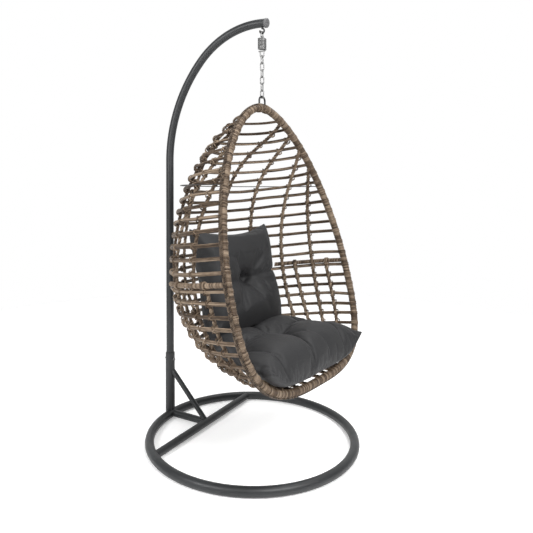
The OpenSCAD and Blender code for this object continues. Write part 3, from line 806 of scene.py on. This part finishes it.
def seat_seam_height(s, t):
    x, y = seat_plan(s, t)
    low = np.maximum(seat_floor(x, y) + 0.012, RIM_BOTTOM + 0.060)
    corner = (np.abs(s) * np.clip(-t, 0, 1)) ** 6
    return low * (1 - corner) + (RIM_BOTTOM + 0.139) * corner


def fullness(s, t, p=4.0):
    return np.sqrt(np.clip((1 - np.abs(s) ** p) * (1 - np.abs(t) ** p), 0, 1))


def seat_top(s, t):
    x, y = seat_plan(s, t)
    e = seat_seam_height(s, t)
    crown = SEAT_TOP + 0.012 * np.exp(-((x - 0.13) / 0.12) ** 2 - ((y + 0.27) / 0.10) ** 2)
    crown = crown + 0.012 * np.exp(-((x + 0.17) / 0.12) ** 2 - ((y + 0.27) / 0.10) ** 2)
    crown = crown + 0.008 * np.exp(-((x - 0.14) / 0.10) ** 2 - ((y + 0.02) / 0.09) ** 2)
    z = e + (crown - e) * fullness(s, t, 7.0)
    for a, b, w, d in SEAT_CREASES:
        z = z - valley(x, y, a, b, w, d) * fullness(s, t, 6)
    for c in SEAT_TUFTS:
        z = z - dimple(x, y, c, 0.036, 0.046)
    return np.stack([x, y, np.maximum(z, e)], -1)


def seat_bottom(s, t):
    x, y = seat_plan(s, t)
    e = seat_seam_height(s, t)
    z = e - (e - seat_floor(x, y) - 0.004) * fullness(s, t, 9)
    return np.stack([x, y, np.minimum(z, e)], -1)


def seat_pins(co):
    w = np.zeros(len(co))
    for c in SEAT_TUFTS:
        w = np.maximum(w, np.exp(-((np.hypot(co[:, 0] - c[0], co[:, 1] - c[1]) / 0.013) ** 4)))
    w = np.maximum(w, (co[:, 2] < bowl(co[:, 0], co[:, 1]) + 0.014) * 1.0)
    return w


def finish_cushion(ob, node):
    me = ob.data
    co = np.empty(len(me.vertices) * 3)
    me.vertices.foreach_get("co", co)
    me.vertices.foreach_set("co", turned(co.reshape(-1, 3)).ravel())
    me.update()
    place(ob, FABRIC, "basket")
    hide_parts(node)


def build_seat():
    ob = pillow_mesh("seat_pad", 96, seat_top, seat_bottom)
    stuff(ob, seat_pins)
    finish_cushion(ob, "seat_cushion")


BACK_HALF, BACK_RISE, BACK_THICK = 0.285, 0.262, 0.072
BACK_MIDDLE = np.array([0.0, 0.083, 0.752])
BACK_LEAN = math.radians(12)
BACK_CREASES = [
    ((0.01, 0.0), (-0.27, -0.020), 0.024, 0.044), ((0.01, 0.0), (0.27, 0.020), 0.018, 0.030),
    ((0.01, 0.0), (0.24, -0.05), 0.014, 0.014), ((0.01, 0.0), (0.16, 0.13), 0.016, 0.012),
    ((0.01, 0.0), (-0.15, 0.14), 0.018, 0.010), ((0.01, 0.0), (-0.16, -0.12), 0.018, 0.010),
    ((0.01, 0.0), (0.10, -0.15), 0.016, 0.008),
]


def back_plan(s, t):
    x = s * BACK_HALF * (1 - 0.085 * (1 - t ** 2))
    h = t * BACK_RISE * (1 - np.where(t > 0, 0.100, 0.015) * (1 - s ** 2))
    return x, h


def back_local(x, h, out):
    """Cushion plane to basket coordinates: out is towards the front."""
    y = BACK_MIDDLE[1] - out * math.cos(BACK_LEAN) + h * math.sin(BACK_LEAN)
    z = BACK_MIDDLE[2] + out * math.sin(BACK_LEAN) + h * math.cos(BACK_LEAN)
    return np.stack([x, y, z], -1)


def back_front(s, t):
    x, h = back_plan(s, t)
    out = BACK_THICK * fullness(s, t, 3.0) * (1 + 0.10 * np.exp(-((h + 0.12) / 0.09) ** 2))
    for a, b, w, d in BACK_CREASES:
        out = out - valley(x, h, a, b, w, d) * fullness(s, t, 5)
    out = out - dimple(x, h, (0.01, 0.0), 0.038, 0.034)
    return back_local(x, h, np.maximum(out, 0))


def back_back(s, t):
    x, h = back_plan(s, t)
    out = 0.068 * fullness(s, t, 3.0) - dimple(x, h, (0.01, 0.0), 0.034, 0.024) * fullness(s, t, 5)
    return back_local(x, h, -np.maximum(out, 0))


def back_pins(co):
    h = (co[:, 2] - BACK_MIDDLE[2]) / math.cos(BACK_LEAN)
    return np.exp(-((np.hypot(co[:, 0] - 0.01, h) / 0.013) ** 4))


def build_back():
    ob = pillow_mesh("back_pad", 96, back_front, back_back)
    stuff(ob, back_pins, cap=0.020)
    finish_cushion(ob, "back_cushion")


build_seat()
build_back()


# ---------------------------------------------------------------- hanger
EYE_R, EYE_WIRE_R = 0.022, 0.00425
LINK_R, LINK_WIRE_R, LINK_COUNT = 0.00825, 0.00275, 6
COIL_WIRE_R, COIL_TURNS = 0.0032, 8


def eye_piece():
    c = np.array([0, HANG_Y, EYE_Z - EYE_R])
    a = np.linspace(0, math.pi, 40)
    top = c + np.stack([EYE_R * np.cos(a), 0 * a, EYE_R * np.sin(a)], -1)
    leg = np.array([[EYE_R, HANG_Y, EYE_Z - EYE_R - v] for v in (0.032, 0.02, 0.01)])
    leg2 = leg[::-1] * np.array([-1, 1, 1])
    piece = Strands()
    piece.strand(np.concatenate([leg, top, leg2]), (0, 1, 0), EYE_WIRE_R, 16)
    ob = piece.build("eye_loop", BLACK, "basket")
    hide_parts("basket_eye")
    wrap = Strands()
    th = np.linspace(0, 2 * math.pi, 33)[:-1]
    for side in (-1, 1):
        for off in (-0.0075, 0.0, 0.0075):
            s0 = side * EYE_R * 1.12 + off
            path = rim_surface(s0 + 0 * th, th, RIM_R + 0.0012)
            _, _, out = rim_at(s0 + 0 * th)
            ref = np.cos(th)[:, None] * out + np.sin(th)[:, None] * RIM_NORMAL
            wrap.strand(path, ref, 0.0036, 6, closed=True, squash=FLAT, tint=0.5)
    wrap.build("eye_wraps", WICKER, "basket")


def smooth_node(name, material):
    """Keeps the CAD node as it is and gives it its finish."""
    ob = frame["nodes"][name]
    ob.data.materials.clear()
    ob.data.materials.append(material)


def chain_links():
    for i in range(1, LINK_COUNT + 1):
        node = f"chain_link_{i}"
        lo, hi = (np.array(v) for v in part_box(node))
        mid = (lo + hi) / 2
        r, wire = LINK_R, LINK_WIRE_R
        half = (hi[2] - lo[2]) / 2 - (r + wire)
        a = np.linspace(0, math.pi, 22)
        up = np.stack([r * np.cos(a), 0 * a, half + r * np.sin(a)], -1)
        down = np.stack([r * np.cos(a + math.pi), 0 * a, -half + r * np.sin(a + math.pi)], -1)
        weld = np.linspace(half, -half, 14)[1:-1]
        left = np.stack([np.full_like(weld, -r), 0 * weld, weld], -1)
        right = np.stack([np.full_like(weld, r), 0 * weld, -weld], -1)
        path = np.concatenate([up, left, down, right])
        rad = np.full(len(path), wire)
        seam = len(up) + 5
        rad[seam:seam + 2] *= 1.10
        turn = (0 if i % 2 else math.pi / 2) + (TURN if i == LINK_COUNT else 0)
        c, s = math.cos(turn), math.sin(turn)
        path = path @ np.array([[c, s, 0], [-s, c, 0], [0, 0, 1]]) + mid
        piece = Strands()
        piece.strand(path, (-s, c, 0), rad, 12, closed=True)
        body = "swivel_link" if i == LINK_COUNT else "chain"
        ob = piece.build(f"link_{i}", ZINC, body, turn=False)
        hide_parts(node)


def spring_parts():
    lo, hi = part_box("spring_coil")
    wire = COIL_WIRE_R
    r = (hi[0] - lo[0]) / 2 - wire
    top, low = hi[2] - wire, lo[2] + wire
    turns = COIL_TURNS
    n = turns * 36
    k = np.linspace(0, 1, n + 1)
    a = k * turns * 2 * math.pi
    path = np.stack([r * np.cos(a), HANG_Y + r * np.sin(a), top - (top - low) * k], -1)
    piece = Strands()
    piece.strand(path, np.stack([np.cos(a), np.sin(a), 0 * a], -1), wire, 12)
    ob = piece.build("coil_wire", ZINC, "spring", turn=False)
    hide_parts("spring_coil")


spring_parts()
eye_piece()
chain_links()
smooth_node("spring_top_loop", ZINC)
smooth_node("spring_bottom_hook", ZINC)
smooth_node("arm_hook", BLACK)
for n in ("base_ring", "base_crossbar", "base_spur", "post_sleeve", "post_brace"):
    smooth_node(n, POWDER)
for n in ("sleeve_bolt", "sleeve_nut"):
    smooth_node(n, ZINC)


# ---------------------------------------------------------------- mast and cap
POST_Y, BEND_Z, BEND_R, TIP_R, MAST_R = 0.492, 1.330, 0.712, 0.432, 0.0195
MAST_FOOT = 0.070
BEND_END, TIP_END = math.radians(44), math.radians(98.04)
TIP_CENTRE = (np.array([POST_Y - BEND_R, BEND_Z])
              + (BEND_R - TIP_R) * np.array([math.cos(BEND_END), math.sin(BEND_END)]))


def mast():
    """The mast and arm swept along one line: a straight length and two bends."""
    up = np.stack([np.full(40, POST_Y), np.linspace(MAST_FOOT, BEND_Z, 40)], -1)
    a = np.linspace(0, BEND_END, 60)[1:]
    long_bend = np.array([POST_Y - BEND_R, BEND_Z]) + BEND_R * np.stack([np.cos(a), np.sin(a)], -1)
    a = np.linspace(BEND_END, TIP_END, 60)[1:]
    tip = TIP_CENTRE + TIP_R * np.stack([np.cos(a), np.sin(a)], -1)
    line = np.concatenate([up, long_bend, tip])
    path = np.concatenate([np.zeros((len(line), 1)), line], -1)
    piece = Strands()
    piece.strand(path, (1, 0, 0), MAST_R, 48)
    ob = piece.build("mast_tube", POWDER, "stand", turn=False)
    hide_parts("mast_arm")


# Half section of the end cap: radius and height, from its dimple out to its back edge
CAP_SECTION = ((0.0003, 0.0006), (0.0034, 0.0006), (0.0042, 0.0012), (0.0046, 0.0044), (0.0060, 0.0050),
               (0.0180, 0.0050), (0.0200, 0.0044), (0.0214, 0.0028), (0.0219, 0.0004), (0.0219, -0.0062),
               (0.0212, -0.0076), (0.0196, -0.0080))


def end_cap():
    """A turned plug with a rounded rim and a dimple in its middle."""
    end = TIP_CENTRE + TIP_R * np.array([math.cos(TIP_END), math.sin(TIP_END)])
    axis = np.array([0, -math.sin(TIP_END), math.cos(TIP_END)])
    side, high = np.array([1.0, 0, 0]), np.array([0, math.cos(TIP_END), math.sin(TIP_END)])
    th = np.linspace(0, 2 * math.pi, 65)[:-1]
    round_ = np.cos(th)[:, None] * side + np.sin(th)[:, None] * high
    verts = np.stack([np.array([0, *end]) + r * round_ + h * axis for r, h in CAP_SECTION])
    piece = Strands()
    piece.grid(verts, along=verts)
    ob = piece.build("end_cap_plug", CAP, "stand", turn=False)
    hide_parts("arm_end_cap")


mast()
end_cap()


# ---------------------------------------------------------------- floor, light and camera
CAMERA_AT = (-2.134, -1.232, 1.166)
LOOK_X, LOOK_Y = 0.8557, 0.5175         # the way the camera looks, seen from above
LOOK_DOWN = math.radians(0.709)
SENSOR_MM, LENS_MM = 36, 35.26
FRAME_SHIFT = (0.0475, -0.1256)         # the photograph's crop
FLOOR_GLOW = 0.34                       # keeps the floor near white under soft light
BACKDROP = ((0.25, (0.26,) * 3), (0.70, (1.0,) * 3))    # room behind the camera, screen before it


def studio():
    bpy.ops.mesh.primitive_circle_add(vertices=96, radius=3.4, fill_type="NGON",
                                      location=(0.3, 0.2, -0.0005))
    floor = bpy.context.object
    floor.name = "floor"
    m, nt, bsdf = new_material("floor_white")
    bsdf.inputs["Base Color"].default_value = (0.9, 0.9, 0.9, 1)
    bsdf.inputs["Roughness"].default_value = 1.0
    bsdf.inputs["Specular IOR Level"].default_value = 0.1
    bsdf.inputs["Emission Color"].default_value = (1, 1, 1, 1)
    bsdf.inputs["Emission Strength"].default_value = FLOOR_GLOW
    floor.data.materials.append(m)
    world = bpy.data.worlds.new("studio")
    bpy.context.scene.world = world
    world.use_nodes = True
    nt = world.node_tree
    direction = nt.nodes.new("ShaderNodeTexCoord").outputs["Generated"]
    facing = nt.nodes.new("ShaderNodeVectorMath")
    facing.operation = "DOT_PRODUCT"
    facing.inputs[1].default_value = (LOOK_X, LOOK_Y, 0)
    nt.links.new(direction, facing.inputs[0])
    shade = ramp(nt, facing.outputs["Value"], BACKDROP)
    nt.links.new(shade, nt.nodes["Background"].inputs["Color"])
    nt.nodes["Background"].inputs["Strength"].default_value = 1.0
    bpy.context.scene.view_settings.view_transform = "Standard"

    def area(name, loc, target, size, power):
        light = bpy.data.lights.new(name, "AREA")
        light.shape = "SQUARE"
        light.size, light.energy = size, power
        ob = bpy.data.objects.new(name, light)
        ob.location = loc
        ob.rotation_euler = (Vector(target) - Vector(loc)).to_track_quat("-Z", "Y").to_euler()
        bpy.context.scene.collection.objects.link(ob)

    area("key", (-1.6, -3.0, 3.2), (0, 0, 0.9), 1.3, 150)
    area("left", (-3.2, 0.9, 2.4), (0, 0, 0.9), 1.2, 90)
    area("top", (0.6, -0.4, 4.4), (0, 0, 0), 1.8, 90)


def photo_camera():
    cam = bpy.data.cameras.new("camera")
    ob = bpy.data.objects.new("camera", cam)
    bpy.context.scene.collection.objects.link(ob)
    ob.location = CAMERA_AT
    az, pitch = math.atan2(LOOK_Y, LOOK_X), -LOOK_DOWN
    look = Vector((math.cos(az) * math.cos(pitch), math.sin(az) * math.cos(pitch), math.sin(pitch)))
    ob.rotation_euler = look.to_track_quat("-Z", "Y").to_euler()
    cam.sensor_width = SENSOR_MM
    cam.lens = LENS_MM
    cam.shift_x, cam.shift_y = FRAME_SHIFT
    cam.clip_start, cam.clip_end = 0.05, 100
    bpy.context.scene.camera = ob


studio()
photo_camera()
